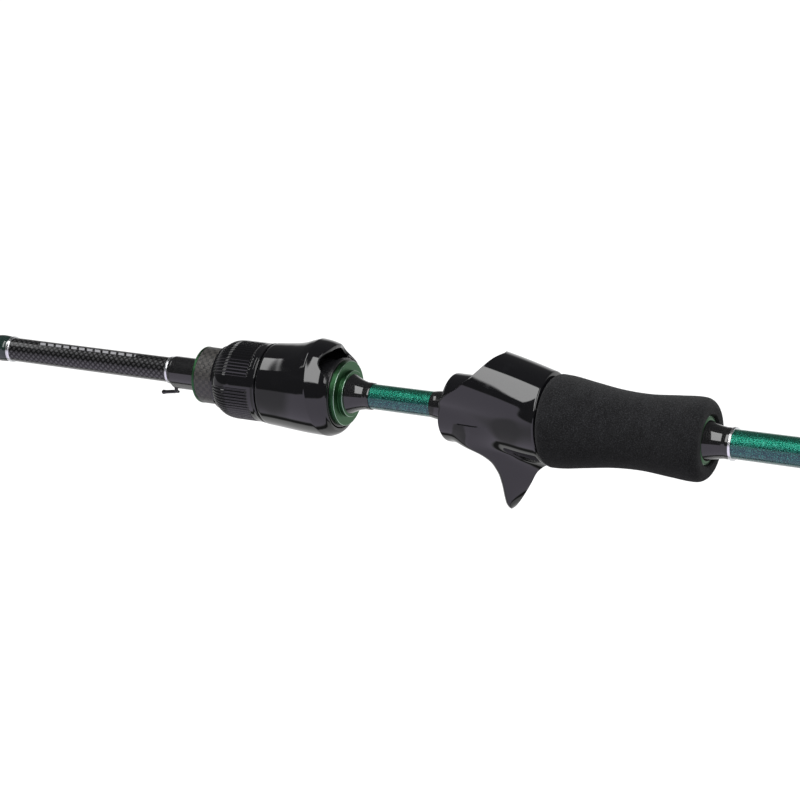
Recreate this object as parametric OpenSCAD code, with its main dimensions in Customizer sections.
// Two-piece casting rod with a split trigger reel seat.
// +X runs along the rod to the tip, +Z to the reel side. The origin is on the blank's axis, between
// the seat halves.

/* [Rod] */
// Full length, from the butt cap to the tip
rod_length = 1500; // [1250:10:2100]
// From the butt end to the gap between the two seat halves
handle_length = 262; // [240:1:330]

/* [Blank] */
// Radius of the blank at the butt end
blank_butt_r = 4.93; // [4.6:0.01:6]
// Radius of the blank at the gap between the seat halves
blank_seat_r = 3.82; // [3.4:0.01:4.6]
// Radius of the blank where the two sections meet
blank_joint_r = 2.55; // [2.3:0.01:3.2]
// Radius of the blank at the tip
blank_tip_r = 0.72; // [0.6:0.01:1.1]
// Wall of the butt section
butt_wall = 0.8; // [0.5:0.05:1]
// Wall of the tip section
tip_wall = 0.55; // [0.4:0.05:0.6]

/* [Ferrule] */
// Length of the spigot that each section holds
spigot_hold = 45; // [30:1:60]
// Visible length of spigot between the two sections
spigot_gap = 3; // [1:0.5:6]
// Running clearance of the spigot in the tip section
spigot_clearance = 0.04; // [0.02:0.01:0.08]
// Length of the thread wrap on each side of the ferrule
ferrule_wrap_length = 22; // [12:1:30]

/* [Trigger seat] */
// From the origin back to the rim of the trigger seat
nose_back = 17.8; // [14:0.1:24]
// Length of the trigger seat
seat_length = 31.7; // [28:0.1:40]
// Radius of the round deck that the reel foot lies on
deck_r = 10.2; // [9.6:0.1:11.5]
// Radius of the trigger seat at its rear end
seat_rear_r = 12.9; // [12.4:0.1:15]
// Radius of the rear hood
crown_r = 12; // [11.6:0.1:13.2]
// Highest point of the rear hood above the axis
crown_top = 18.3; // [17.6:0.1:20]
// Lean of the rear hood, down towards the grip, in degrees
crown_lean = 14; // [8:0.5:16]
// Wall of the rear hood at its highest point
crown_wall = 3; // [2:0.1:3.4]
// Width of the pocket for the rear end of the reel foot
pocket_w = 15; // [12:0.5:17]
// Reach of the trigger below the axis
trigger_drop = 28.4; // [24:0.1:34]
// Width of the trigger at its root
trigger_w = 13; // [9:0.5:16]

/* [Grips] */
// Length of the foam grip behind the seat
grip_length = 49; // [40:1:80]
// Radius of that grip at its front end
grip_front_r = 13.7; // [13.2:0.1:16]
// Radius of that grip at its waist
grip_waist_r = 10.95; // [9.5:0.05:12.5]
// Radius of that grip near its rear end
grip_rear_r = 12.15; // [11:0.05:14]
// Rounding of the edges of both grips
grip_edge = 2.2; // [1:0.1:2.8]
// Length of the butt grip
butt_grip_length = 72; // [50:1:90]
// Largest radius of the butt grip
butt_grip_r = 14; // [12:0.1:17]
// Radius of the butt grip at its front end
butt_grip_front_r = 9.8; // [9:0.1:11]
// Length of the butt cap
butt_cap_length = 9; // [6:0.5:14]
// Thickness of the anodised ring between the butt grip and its cap
butt_ring_t = 2.4; // [1:0.1:4]

/* [Front seat] */
// From the origin forward to the lip of the threaded barrel
barrel_forward = 18.8; // [16:0.1:24]
// Length of the threaded barrel
barrel_length = 40.2; // [38:0.1:48]
// Outer radius of the threaded barrel, over its thread
barrel_r = 9.5; // [9.2:0.05:9.6]
// Bore radius of the threaded barrel
barrel_bore_r = 7; // [6:0.1:7.4]
// Radius of the lip at the barrel's end
lip_r = 10.4; // [10.2:0.05:10.8]
// Thread pitch
thread_pitch = 1.5; // [1:0.1:2]
// Turns that the lock nut makes from closed to open
nut_turns = 5; // [2:1:5]
// Length of the moving hood
hood_length = 23.5; // [21:0.1:28]
// Largest radius of the moving hood
hood_r = 13.5; // [12.8:0.1:15]
// Radius of the moving hood at the lock nut
hood_rear_r = 12.4; // [12:0.1:13]
// Highest point of the moving hood above the axis
hood_top = 15.6; // [14.6:0.1:16.4]
// Wall of the moving hood over its pocket
hood_wall = 1.5; // [1:0.1:2]
// Sliding clearance of the hood and the nut on the barrel
seat_clearance = 0.2; // [0.1:0.05:0.3]
// Length of the lock nut
nut_length = 16.6; // [15.6:0.1:20]
// Radius of the lock nut
nut_r = 12; // [11.4:0.1:13]
// Length of the woven collar on the lock nut
collar_length = 7.2; // [5:0.1:7.6]
// Radius of the woven collar
collar_r = 8.6; // [7.6:0.1:9.2]

/* [Checks and wraps] */
// Radius of the stepped ring in front of the barrel
front_check_r = 9.75; // [9:0.05:10]
// Radius of the ring behind the rear grip
rear_check_r = 7.3; // [6.6:0.1:8.4]
// Thickness of the thread wraps on the blank
wrap_t = 0.65; // [0.3:0.05:0.9]
// Thickness of the bright trim rings over the blank
trim_t = 0.75; // [0.5:0.05:1]
// From the origin forward to the front end of the wrap with the hook keeper
fore_wrap_end = 78.5; // [76:0.5:90]
// Length of the woven sleeve ahead of that wrap
sleeve_length = 58.5; // [40:0.5:90]
// Wall of the woven sleeve
sleeve_t = 0.25; // [0.15:0.05:0.4]

/* [Guides] */
// Distance from the ferrule back to the guide on the butt section
stripper_back = 76; // [50:1:120]
// Distance from the ferrule forward to the first guide on the tip section
tip_guide_ahead = 78; // [50:1:100]
// Spacing of the two guides nearest the tip
tip_spacing = 82; // [60:1:86]
// Outer diameter of the ring nearest the reel
first_ring_d = 8; // [7:0.5:10]
// How much smaller each next ring is
ring_step = 1; // [0.5:0.1:1.5]
// Outer diameter of the smallest rings
small_ring_d = 4; // [3.6:0.1:5]
// Outer diameter of the tip-top ring
tip_ring_d = 4.6; // [4:0.1:6]
// Radius of the legs of the guides
guide_wire_r = 0.42; // [0.35:0.01:0.5]

/* [Hidden] */
$fn = 64;

guide_count = 7;
butt_x = -handle_length;
tip_x = rod_length - handle_length;
joint_x = rod_length / 2 - handle_length;
nose_x = -nose_back;
seat_rear_x = nose_x - seat_length;
grip_rear_x = seat_rear_x - grip_length;
butt_grip_rear_x = butt_x + butt_cap_length + butt_ring_t;
butt_grip_front_x = butt_grip_rear_x + butt_grip_length;
barrel_x = barrel_forward;
barrel_end_x = barrel_x + barrel_length;
hood_x = barrel_x + 0.2;
hood_end_x = hood_x + hood_length;
slip_ring_t = 0.6;
nut_x = hood_end_x + slip_ring_t;
nut_end_x = nut_x + nut_length;
collar_end_x = nut_end_x + collar_length;
nut_travel = nut_turns * thread_pitch;
keeper_x = max(fore_wrap_end - 1.5, collar_end_x + nut_travel + 2.6);
fore_ring_x = max(fore_wrap_end, keeper_x + 1.5);
crown_x = nose_x - 15.8;
crest_x = hood_x + 7.5;
hood_bore_r = barrel_r + seat_clearance;
arbor_r = 7.4;
mouth_foot_z = 4.2;
mouth_bow = 0.9;
liner_t = 0.5;
front_check_t = 3;
rear_check_t = 2.2;
keeper_r = 0.55;

// Blank
function blank_r(x) = lookup(x, [
    [butt_x, blank_butt_r], [0, blank_seat_r], [joint_x, blank_joint_r], [tip_x, blank_tip_r]
]);
function between(a, b, t) = a + (b - a) * t;
function eased(a, b, t) = between(a, b, (1 - cos(180 * t)) / 2);

// A ring of any outline round the blank: points are [distance along X, radius], in order along X
module on_blank(outline) {
    first = outline[0][0];
    last = outline[len(outline) - 1][0];
    knots = [for (k = [joint_x, 0]) if (k > first && k < last) k];
    inner = concat([last], knots, [first]);
    turned(concat(outline, [for (x = inner) [x, blank_r(x)]]));
}

// A turned solid about the X axis: points are [distance along X, radius]
module turned(outline) {
    rotate([0, 90, 0])
        rotate_extrude()
            polygon([for (p = outline) [p[1], p[0]]]);
}

// The same outline closed on the axis instead of on the blank, for wraps that are hollowed afterwards
module filled(outline) {
    turned(concat([[outline[0][0], 0]], outline, [[outline[len(outline) - 1][0], 0]]));
}

// The room that the blank takes between two places
module blank_room(x0, x1) {
    filled([[x0, blank_r(x0)], [x1, blank_r(x1)]]);
}

module disc_x(x0, x1, r) {
    translate([x0, 0, 0])
        rotate([0, 90, 0])
            cylinder(r = r, h = x1 - x0);
}

// A straight wire from p to q, with a small ball at its far end that covers a bend
module wire(p, q, r) {
    v = q - p;
    translate(p)
        rotate([0, acos(v[2] / norm(v)), atan2(v[1], v[0])])
            cylinder(r = r, h = norm(v));
}

module ball(p, r) {
    translate(p) sphere(r = r);
}

module butt_blank() {
    bore_end = joint_x - spigot_gap / 2 - spigot_hold;
    front = joint_x - spigot_gap / 2;
    rear = butt_x + butt_cap_length / 2;
    spigot_seat_r = spigot_r();
    color("#1d4a44")
        turned([
            [rear, blank_r(rear)], [0, blank_r(0)], [front, blank_r(front)],
            [front, spigot_seat_r], [bore_end, spigot_seat_r],
            [bore_end, blank_r(bore_end) - butt_wall], [0, blank_r(0) - butt_wall],
            [rear, blank_r(rear) - butt_wall]
        ]);
}

function spigot_r() = blank_joint_r - butt_wall;

module spigot() {
    rear = joint_x - spigot_gap / 2 - spigot_hold;
    front = joint_x + spigot_gap / 2 + spigot_hold;
    chamfer = 0.4;
    color("#1a1a1c")
        turned([
            [rear, 0], [rear, spigot_r()], [front - chamfer, spigot_r()],
            [front, spigot_r() - chamfer], [front, 0]
        ]);
}

module tip_blank() {
    rear = joint_x + spigot_gap / 2;
    socket_end = rear + spigot_hold + 3;
    bore_end = between(socket_end, tip_x, 0.45);
    socket_r = spigot_r() + spigot_clearance;
    color("#15201f")
        turned([
            [rear, socket_r], [rear, blank_r(rear)], [tip_x, blank_r(tip_x)], [tip_x, 0],
            [bore_end, 0], [bore_end, blank_r(bore_end) - tip_wall],
            [socket_end, blank_r(socket_end) - tip_wall - 0.15], [socket_end, socket_r]
        ]);
}

// Butt end
module butt_cap() {
    r = butt_grip_r - 0.3;
    edge = 2.5;
    rear = butt_x;
    front = butt_x + butt_cap_length;
    pocket = butt_x + butt_cap_length / 2;
    color("#17171a")
        turned(concat(
            [[pocket, 0], [rear, 0]],
            [for (a = [0:15:90]) [rear + edge - edge * cos(a), r - edge + edge * sin(a)]],
            [[front, r], [front, blank_r(front)], [pocket, blank_r(pocket)]]
        ));
}

module butt_ring() {
    rear = butt_x + butt_cap_length;
    front = butt_grip_rear_x;
    chamfer = 0.4;
    color("#2d5537")
        on_blank([
            [rear, butt_grip_r - chamfer], [rear + chamfer, butt_grip_r],
            [front - chamfer, butt_grip_r], [front, butt_grip_r - chamfer]
        ]);
}

module butt_grip() {
    front = butt_grip_front_x;
    rear = butt_grip_rear_x;
    steps = 16;
    color("#26272a")
        on_blank(concat(
            [[rear, butt_grip_r - 0.4], [rear + 0.4, butt_grip_r], [rear + 14, butt_grip_r]],
            [for (i = [1:steps - 1])
                [between(rear + 14, front - grip_edge, i / steps),
                    eased(butt_grip_r, butt_grip_front_r, i / steps)]],
            [for (a = [90:-15:0])
                [front - grip_edge + grip_edge * cos(a),
                    butt_grip_front_r - grip_edge + grip_edge * sin(a)]]
        ));
}

module butt_check() {
    rear = butt_grip_front_x;
    color("#2d5537")
        on_blank([
            [rear, rear_check_r], [rear + 1, rear_check_r], [rear + 1.8, rear_check_r - 0.8],
            [rear + 1.8, blank_r(rear) + 1.6]
        ]);
}

// A wrap that flares from the blank up to a check, with its wide end at x_wide
module flared_wrap(x_wide, x_narrow, r_wide) {
    steps = 8;
    flare = [for (i = [0:steps])
        let (t = i / steps)
            [between(x_wide, x_narrow, t), between(blank_r(x_narrow) + 0.25, r_wide, pow(1 - t, 2.2))]];
    on_blank(x_wide < x_narrow ? flare : [for (i = [steps:-1:0]) flare[i]]);
}

module butt_wrap() {
    x = butt_grip_front_x + 1.8;
    color("#0e0e12") flared_wrap(x, x + 9, blank_r(x) + 1.5);
}

module rear_trim_ring() {
    x = grip_rear_x - 7;
    color("#c9ccd0") trim_ring(x, 0.9);
}

module trim_ring(x, w) {
    edge = 0.2;
    on_blank([
        [x - w / 2, blank_r(x) + trim_t - edge - 0.15], [x - w / 2 + edge, blank_r(x) + trim_t - 0.15],
        [x + w / 2 - edge, blank_r(x) + trim_t - 0.15], [x + w / 2, blank_r(x) + trim_t - edge - 0.15]
    ]);
}

module rear_wrap() {
    x = grip_rear_x + 0.6;
    color("#0e0e12") flared_wrap(x, grip_rear_x - 6.55, blank_r(x) + 1.7);
}

// The ring behind the rear grip sits in a recess in the foam
module rear_check() {
    front = grip_rear_x + 0.6 + rear_check_t;
    rear = grip_rear_x + 0.6;
    color("#2d5537")
        on_blank([[rear, rear_check_r - 0.9], [rear + 0.8, rear_check_r], [front, rear_check_r]]);
}

module rear_grip() {
    front = seat_rear_x;
    rear = grip_rear_x;
    front_step = front - grip_edge;
    rear_step = rear + grip_edge + 0.8;
    waist = between(rear_step, front_step, 0.38);
    steps = 12;
    recess = rear + 0.6 + rear_check_t;
    color("#26272a")
        turned(concat(
            [[recess, rear_check_r], [rear, rear_check_r]],
            [for (a = [0:15:90])
                [rear + grip_edge - grip_edge * cos(a), grip_rear_r - grip_edge + grip_edge * sin(a)]],
            [for (i = [0:steps])
                [between(rear_step, waist, i / steps), eased(grip_rear_r, grip_waist_r, i / steps)]],
            [for (i = [1:steps])
                [between(waist, front_step, i / steps), eased(grip_waist_r, grip_front_r, i / steps)]],
            [for (a = [75:-15:0])
                [front - grip_edge + grip_edge * cos(a), grip_front_r - grip_edge + grip_edge * sin(a)]],
            [[front, blank_r(front)], [recess, blank_r(recess)]]
        ));
}

// Trigger seat
module rear_arbor() {
    rear = seat_rear_x;
    front = nose_x - 2;
    color("#c8b98a") on_blank([[rear, arbor_r], [front, arbor_r]]);
}

// The side outline of the trigger, from the front of its root round its point to the rear
module trigger() {
    back = seat_rear_x + 0.5;
    point_x = nose_x - 19;
    root_z = -deck_r + 4;
    bend = 12;
    front_edge = [for (i = [0:bend])
        let (t = i / bend)
            [between(nose_x - 5, point_x + 1.6, pow(t, 0.62)),
                between(-deck_r + 0.4, 2 - trigger_drop, pow(t, 1.35))]];
    tip = [for (a = [0:-30:-180]) [point_x + 1.6 * cos(a), 1.6 - trigger_drop + 1.6 * sin(a)]];
    intersection() {
        rotate([90, 0, 0])
            linear_extrude(height = trigger_w, center = true)
                polygon(concat(
                    [[nose_x - 5, root_z]], front_edge, tip,
                    [[back + 3, -seat_rear_r - 3], [back, -seat_rear_r + 1], [back, root_z]]
                ));
        rotate([90, 0, 90])
            translate([0, 0, back])
                linear_extrude(height = nose_x - back)
                    polygon([
                        [-trigger_w / 2, root_z], [-trigger_w * 0.4, -deck_r - 4],
                        [-trigger_w * 0.24, 5 - trigger_drop],
                        [-1.2, -trigger_drop], [1.2, -trigger_drop], [trigger_w * 0.24, 5 - trigger_drop],
                        [trigger_w * 0.4, -deck_r - 4], [trigger_w / 2, root_z]
                    ]);
    }
}

// The rear hood: a leaning cylinder, cut off square at the grip, with a mouth that slants up from the nose
module crown() {
    steps = 8;
    mouth = [for (i = [0:steps])
        let (t = i / steps)
            [between(nose_x, crown_x, t) - mouth_bow * sin(180 * t), between(mouth_foot_z, crown_top, t)]];
    difference() {
        translate([crown_x, 0, crown_top - crown_r / cos(crown_lean)])
            rotate([0, 90 - crown_lean, 0])
                cylinder(r = crown_r, h = 60, center = true);
        disc_x(seat_rear_x - 60, seat_rear_x, 60);
        rotate([90, 0, 0])
            linear_extrude(height = 80, center = true)
                polygon(concat([[nose_x, -40]], mouth, [[crown_x, 60], [60, 60], [60, -40]]));
        translate([seat_rear_x - 5, -40, -80]) cube([60, 80, 80 - deck_r + 2]);
    }
}

module trigger_seat() {
    rim = 0.5;
    depth = seat_length - 4;
    ceiling = crown_top - crown_wall;
    rear_ceiling = deck_r + 2;
    color("#16161a")
        difference() {
            union() {
                turned([
                    [nose_x, arbor_r], [nose_x, deck_r - rim], [nose_x - rim, deck_r],
                    [nose_x - 12, deck_r + 0.3],
                    [seat_rear_x, seat_rear_r], [seat_rear_x, arbor_r]
                ]);
                crown();
                trigger();
            }
            disc_x(seat_rear_x - 1, nose_x - 2, arbor_r);
            disc_x(nose_x - 3, nose_x + 1, blank_r(nose_x) + wrap_t + 0.6);
            intersection() {
                turned([
                    [nose_x - depth, deck_r + 0.01], [nose_x - depth, rear_ceiling],
                    [crown_x, ceiling], [nose_x + 5, ceiling], [nose_x + 5, deck_r + 0.01]
                ]);
                translate([nose_x - depth - 1, -pocket_w / 2, 2]) cube([depth + 10, pocket_w, 40]);
            }
        }
}

module nose_wrap() {
    rear = nose_x - 2;
    front = nose_x + 6.5;
    color("#0e0e12")
        on_blank([
            [rear, blank_r(rear) + wrap_t], [nose_x, blank_r(nose_x) + wrap_t],
            [front - 1, blank_r(front) + 0.35],
            [front, blank_r(front) + 0.2]
        ]);
}

// Front half of the seat
module mid_wrap() {
    x = barrel_x - front_check_t;
    color("#0e0e12") flared_wrap(x, x - 7, 6);
}

module front_check() {
    rear = barrel_x - front_check_t;
    chamfer = 0.25;
    color("#2d5537")
        on_blank([
            [rear, 7 - chamfer], [rear + chamfer, 7], [rear + 1.4, 7],
            [rear + 1.4, front_check_r - chamfer], [rear + 1.4 + chamfer, front_check_r],
            [barrel_x, front_check_r]
        ]);
}

module front_arbor() {
    color("#c8b98a") on_blank([[barrel_x, barrel_bore_r], [barrel_end_x, barrel_bore_r]]);
}

module threaded_barrel() {
    lip_t = 1.4;
    thread_x = hood_end_x + 1;
    thread_depth = 0.5;
    count = floor((barrel_end_x - thread_x - 0.5) / thread_pitch);
    color("#121216")
        turned(concat(
            [[barrel_x, barrel_bore_r], [barrel_x, lip_r - 0.2], [barrel_x + 0.2, lip_r]],
            [[barrel_x + lip_t, lip_r], [barrel_x + lip_t, barrel_r]],
            [for (i = [0:count - 1], p = [[0, 0], [0.45, -thread_depth], [0.75, -thread_depth]])
                [thread_x + (i + p[0]) * thread_pitch, barrel_r + p[1]]],
            [[barrel_end_x, barrel_r - thread_depth], [barrel_end_x, barrel_bore_r]]
        ));
}

// The hood is one round body and one raised body above it, hollow round the barrel
module hood_outside(inset) {
    lift = (hood_top - hood_r) * 2;
    raised_r = hood_top - lift;
    turned([
        [hood_x, 0], [hood_x, hood_r - 2.2 - inset], [hood_x + 2.2, hood_r - 0.5 - inset],
        [crest_x, hood_r - inset],
        [hood_end_x, hood_rear_r - inset], [hood_end_x, 0]
    ]);
    translate([0, 0, lift])
        turned([
            [hood_x, 0], [hood_x, raised_r - 2.6 - inset], [hood_x + 2.2, raised_r - 0.8 - inset],
            [crest_x, raised_r - inset], [hood_end_x, hood_rear_r - lift - inset], [hood_end_x, 0]
        ]);
}

// The pocket's mouth slants back over the top
module hood_mouth() {
    rotate([90, 0, 0])
        linear_extrude(height = 60, center = true)
            polygon([[hood_x - 5, 7], [hood_x, 7], [hood_x + 1.5, 9.5], [crest_x, hood_top],
                [crest_x, 40], [hood_x - 5, 40]]);
}

// The pocket over the barrel, as wide as the reel foot
module hood_pocket(inset) {
    depth = hood_length - 4;
    ceiling = hood_top - hood_wall - inset;
    half = pocket_w / 2 - inset;
    intersection() {
        turned([
            [hood_x - 1, 0], [hood_x - 1, ceiling], [crest_x, ceiling], [hood_x + depth, hood_bore_r + 0.6],
            [hood_x + depth, 0]
        ]);
        translate([hood_x - 2, -half, 0]) cube([hood_length, 2 * half, 40]);
    }
}

module moving_hood() {
    color("#131318")
        difference() {
            hood_outside(0);
            disc_x(hood_x - 1, hood_end_x + 1, hood_bore_r);
            disc_x(hood_x - 1, barrel_x + 1.8, lip_r + seat_clearance);
            hood_pocket(0);
            hood_mouth();
        }
}

// A thin cushion under the pocket's roof grips the foot
module hood_liner() {
    front = hood_x + hood_length - 5;
    color("#2b2b30")
        difference() {
            hood_pocket(0);
            hood_pocket(liner_t);
            translate([hood_x - 5, -20, -1]) cube([60, 40, hood_bore_r * 0.8]);
            disc_x(hood_x - 5, hood_end_x, hood_bore_r);
            disc_x(hood_x - 5, barrel_x + 1.8, lip_r + seat_clearance);
            disc_x(front, hood_end_x, 30);
            hood_mouth();
            translate([hood_x - 5, -20, -1]) cube([5.8, 40, 40]);
        }
}

module slip_ring() {
    front = nut_x - 0.05;
    r = hood_rear_r - 0.9;
    color("#3a3a40") turned([[hood_end_x, hood_bore_r], [hood_end_x, r], [front, r], [front, hood_bore_r]]);
}

module lock_nut() {
    groups = 6;
    ribs = 6;
    rib_angle = 5;
    rib_start = nut_x + 2.6;
    shoulder = 4.5;
    cap = nut_end_x - shoulder;
    color("#131318")
        difference() {
            turned(concat(
                [[nut_x, hood_bore_r], [nut_x, nut_r], [nut_x + 0.4, nut_r + 0.3],
                    [nut_x + 1.8, nut_r + 0.3]],
                [[rib_start - 0.4, nut_r], [cap - 2, nut_r]],
                [for (a = [90:-15:0]) [cap + shoulder * cos(a), nut_r - 2.7 + 2.7 * sin(a)]],
                [[nut_end_x, collar_r - 1.2], [barrel_end_x + 0.6, collar_r - 1.2],
                    [barrel_end_x + 0.6, hood_bore_r]]
            ));
            for (g = [0:groups - 1], i = [0:ribs - 1])
                rotate([g * 360 / groups + (i - (ribs - 1) / 2) * rib_angle, 0, 0])
                    translate([rib_start, 0, nut_r + 0.05])
                        rotate([0, 90, 0])
                            cylinder(r = 0.38, h = nut_length, $fn = 16);
        }
}

module nut_collar() {
    hole_r = blank_r(collar_end_x) + 2;
    rear = nut_end_x;
    front = collar_end_x - 0.8;
    color("#4a4640")
        turned([
            [rear, collar_r], [front, collar_r], [front, hole_r], [front - 1.2, hole_r],
            [front - 1.2, collar_r - 1], [rear, collar_r - 1]
        ]);
}

module nut_trim_ring() {
    front = collar_end_x;
    rear = front - 0.8;
    hole_r = blank_r(collar_end_x) + 2;
    color("#2d5537")
        turned([
            [rear, hole_r], [rear, collar_r + 0.05], [front - 0.3, collar_r + 0.05],
            [front, collar_r - 0.25],
            [front, hole_r]
        ]);
}

// Ahead of the seat
keeper_gap = 0.06;
keeper_ball_r = keeper_r * 1.15;
keeper_foot_z = -blank_r(keeper_x - 8) - keeper_ball_r - keeper_gap;
module keeper_foot() {
    wire([keeper_x - 8, 0, keeper_foot_z], [keeper_x, 0, keeper_foot_z], keeper_r);
    ball([keeper_x, 0, keeper_foot_z], keeper_ball_r);
    wire([keeper_x, 0, keeper_foot_z], [keeper_x, 0, keeper_foot_z - 2.4], keeper_r);
}

module hook_keeper() {
    bottom = keeper_foot_z - 2.4;
    color("#101013") {
        keeper_foot();
        ball([keeper_x, 0, bottom], keeper_r * 1.3);
        wire([keeper_x, 0, bottom], [keeper_x + 5, 0, bottom - 0.8], keeper_r);
        ball([keeper_x + 5, 0, bottom - 0.8], keeper_r * 1.5);
        wire([keeper_x, 0, bottom], [keeper_x - 1.5, 0, bottom - 0.1], keeper_r * 0.9);
    }
}

module fore_wrap() {
    rear = barrel_end_x;
    front = fore_ring_x;
    color("#0e0e12")
        difference() {
            union() {
                filled([
                    [rear, blank_r(rear) + wrap_t + 0.25], [front - 0.6, blank_r(front) + wrap_t + 0.25],
                    [front, blank_r(front) + wrap_t]
                ]);
                translate([keeper_x - 9, -keeper_r - 0.5, keeper_foot_z - keeper_r - 0.35])
                    cube([9.8, 2 * keeper_r + 1, 2 * keeper_r + 1]);
            }
            blank_room(rear - 1, front + 1);
            keeper_foot();
        }
}

module fore_trim_ring() {
    color("#c9ccd0") trim_ring(fore_ring_x + 0.45, 0.9);
}

module woven_sleeve() {
    rear = fore_ring_x + 0.9;
    front = fore_ring_x + sleeve_length;
    color("#2a2a2c") on_blank([[rear, blank_r(rear) + sleeve_t], [front, blank_r(front) + sleeve_t]]);
}

module sleeve_trim_ring() {
    color("#c9ccd0") trim_ring(fore_ring_x + sleeve_length + 0.6, 1.2);
}

module sleeve_wrap() {
    rear = fore_ring_x + sleeve_length + 1.2;
    color("#12201e")
        on_blank([
            [rear, blank_r(rear) + wrap_t], [rear + 3, blank_r(rear) + wrap_t - 0.05],
            [rear + 8, blank_r(rear) + 0.25],
            [rear + 14, blank_r(rear + 14) + 0.15]
        ]);
}

// A plain thread wrap between x0 and x1, with sloping ends
function wrap_outline(x0, x1, t, slope = 1.5) = [
    [x0, blank_r(x0) + 0.1], [x0 + slope, blank_r(x0 + slope) + t], [x1 - slope, blank_r(x1 - slope) + t],
    [x1, blank_r(x1) + 0.1]
];
module plain_wrap(x0, x1, t) {
    on_blank(wrap_outline(x0, x1, t));
}

module butt_ferrule_wrap() {
    front = joint_x - spigot_gap / 2;
    color("#12201e") plain_wrap(front - ferrule_wrap_length, front, 0.35);
}

module tip_ferrule_wrap() {
    rear = joint_x + spigot_gap / 2;
    color("#12201e") plain_wrap(rear, rear + ferrule_wrap_length, 0.35);
}

// Guides: number 1 is on the butt section, and the gaps between the others grow evenly from the tip
tip_guides = guide_count - 1;
tip_span = tip_x - joint_x - tip_guide_ahead;
gap_growth = (tip_span - tip_guides * tip_spacing) / (tip_guides * (tip_guides - 1) / 2);
function gaps_from_tip(n) = n * tip_spacing + gap_growth * n * (n - 1) / 2;
function guide_x(i) = i == 1 ? joint_x - stripper_back : tip_x - gaps_from_tip(guide_count + 1 - i);
function ring_d(i) = max(small_ring_d, first_ring_d - ring_step * (i - 1));
function ring_z(i) = blank_r(guide_x(i)) + 1.25 * ring_d(i) + 0.5;
ring_lip_r = 0.45;
holder_t = 0.5;
holder_w = 0.8;
foot_length = 10;
foot_w = 2;
foot_t = 0.7;
foot_sink = 0.1;

// The ceramic ring: a round lip inside and a flat seat outside
module ceramic(x, z, d) {
    mid_r = d / 2 - ring_lip_r - 0.05;
    color("#3d3f45")
        translate([x, 0, z])
            rotate([0, 90, 0])
                rotate_extrude()
                    union() {
                        translate([mid_r, 0]) circle(r = ring_lip_r, $fn = 32);
                        translate([mid_r, -holder_w / 2]) square([d / 2 - mid_r, holder_w]);
                    }
}

module holder(x, z, d) {
    translate([x - holder_w / 2, 0, z])
        rotate([0, 90, 0])
            difference() {
                cylinder(r = d / 2 + holder_t, h = holder_w);
                translate([0, 0, -1]) cylinder(r = d / 2, h = holder_w + 2);
            }
}

// A foot on the blank, which is ground hollow underneath to fit it: side is +1 towards the tip and -1
// towards the
// butt, and grow thickens it all round
function foot_root(i, side) = guide_x(i) + side * 3;
function foot_z(i, side) =
    max(blank_r(foot_root(i, side)), blank_r(foot_root(i, side) + side * foot_length));
module guide_foot(i, side, grow) {
    x = foot_root(i, side);
    low = min(x, x + side * foot_length);
    translate([low - grow, -foot_w / 2 - grow, foot_z(i, side) - foot_sink - grow])
        cube([foot_length + 2 * grow, foot_w + 2 * grow, foot_t + foot_sink + 2 * grow]);
}

// Two legs rise from the foot to the sides of the ring holder
module guide_legs(i, side) {
    reach = ring_d(i) / 2 + holder_t / 2;
    for (y = [-1, 1])
        wire(
            [foot_root(i, side) + side * 0.6, y * 0.55, foot_z(i, side) + 0.3],
            [guide_x(i) + side * 0.3, y * reach * sin(leg_angle(side)),
                ring_z(i) - reach * cos(leg_angle(side))],
            guide_wire_r
        );
}

function leg_angle(side) = side > 0 ? 50 : 38;
function guide_sides(i) = i == 1 ? [-1, 1] : [1];

module guide_frame(i) {
    x = guide_x(i);
    color("#5a5d63")
        difference() {
            union() {
                holder(x, ring_z(i), ring_d(i));
                for (side = guide_sides(i)) {
                    guide_foot(i, side, 0);
                    guide_legs(i, side);
                }
            }
            blank_room(x - 4 - foot_length, x + 4 + foot_length);
            translate([x - 3, 0, ring_z(i)])
                rotate([0, 90, 0])
                    cylinder(r = ring_d(i) / 2, h = 6);
        }
}

module guide_wrap(i) {
    color("#12201e")
        for (side = guide_sides(i)) {
            a = foot_root(i, side) + side * 1.6;
            b = a + side * foot_length;
            low = min(a, b);
            high = max(a, b);
            difference() {
                union() {
                    filled(wrap_outline(low, high, 0.35));
                    intersection() {
                        guide_foot(i, side, 0.3);
                        disc_x(low + 0.5, high - 0.5, 10);
                    }
                }
                blank_room(low - 1, high + 1);
                guide_foot(i, side, 0);
            }
        }
}

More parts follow.
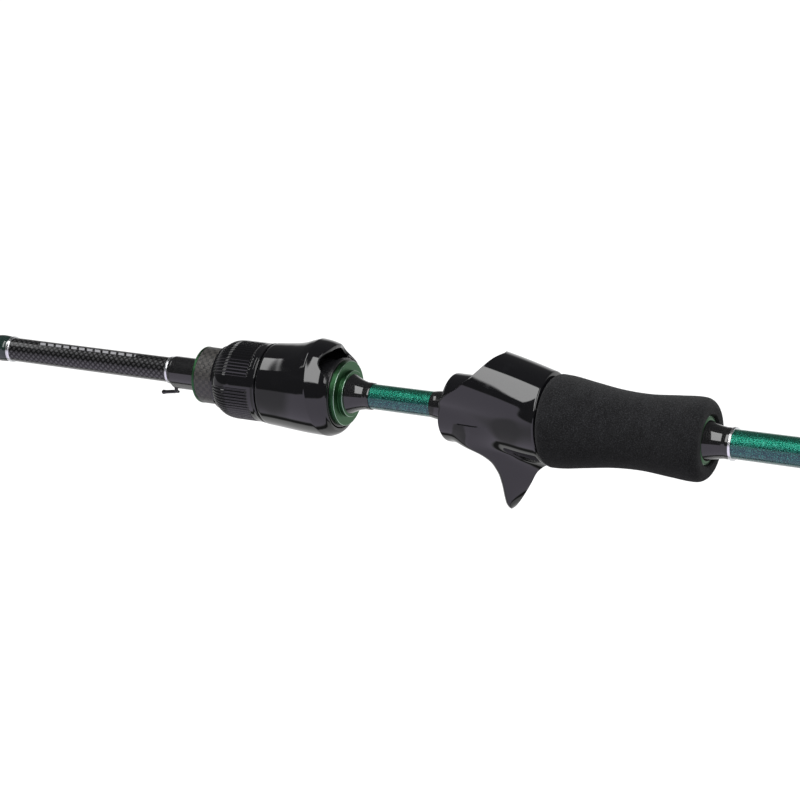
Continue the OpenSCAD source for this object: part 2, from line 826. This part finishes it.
// Tip-top: a tube over the end of the blank that carries the last ring
tube_length = 9;
tube_wall = 0.3;
tip_top_x = tip_x - 1;
tube_r = blank_r(tip_x - tube_length) + tube_wall;
tip_ring_z = tube_r + tip_ring_d / 2 + holder_t;
module tip_top_frame() {
    reach = tip_ring_d / 2 + holder_t / 2;
    color("#5a5d63")
        difference() {
            union() {
                disc_x(tip_x - tube_length, tip_x, tube_r);
                translate([tip_x - tube_length + 2, -0.35, tube_r - 0.3])
                    cube([tube_length - 2.6, 0.7, 0.9]);
                holder(tip_top_x, tip_ring_z, tip_ring_d);
                for (y = [-1, 1])
                    wire(
                        [tip_x - tube_length + 1.5, y * 0.5, tube_r - 0.45],
                        [tip_top_x, y * reach * sin(70), tip_ring_z - reach * cos(70)], 0.36
                    );
            }
            turned([
                [tip_x - tube_length - 1, 0], [tip_x - tube_length - 1, blank_r(tip_x - tube_length - 1)],
                [tip_x, blank_tip_r], [tip_x, 0]
            ]);
            translate([tip_top_x - 4, 0, tip_ring_z])
                rotate([0, 90, 0])
                    cylinder(r = tip_ring_d / 2, h = 8);
        }
}

module tip_top_ring() {
    ceramic(tip_top_x, tip_ring_z, tip_ring_d);
}

module tip_top_wrap() {
    front = tip_x - tube_length;
    color("#12201e") plain_wrap(front - 8, front, 0.3);
}

butt_cap();
butt_ring();
butt_grip();
butt_check();
butt_wrap();
butt_blank();
rear_trim_ring();
rear_wrap();
rear_check();
rear_grip();
trigger_seat();
rear_arbor();
nose_wrap();
mid_wrap();
front_check();
threaded_barrel();
front_arbor();
moving_hood();
hood_liner();
slip_ring();
lock_nut();
nut_collar();
nut_trim_ring();
fore_wrap();
hook_keeper();
fore_trim_ring();
woven_sleeve();
sleeve_trim_ring();
sleeve_wrap();
butt_ferrule_wrap();
spigot();
tip_ferrule_wrap();
tip_blank();
for (i = [1:guide_count]) {
    guide_frame(i);
    ceramic(guide_x(i), ring_z(i), ring_d(i));
    guide_wrap(i);
}
tip_top_frame();
tip_top_ring();
tip_top_wrap();
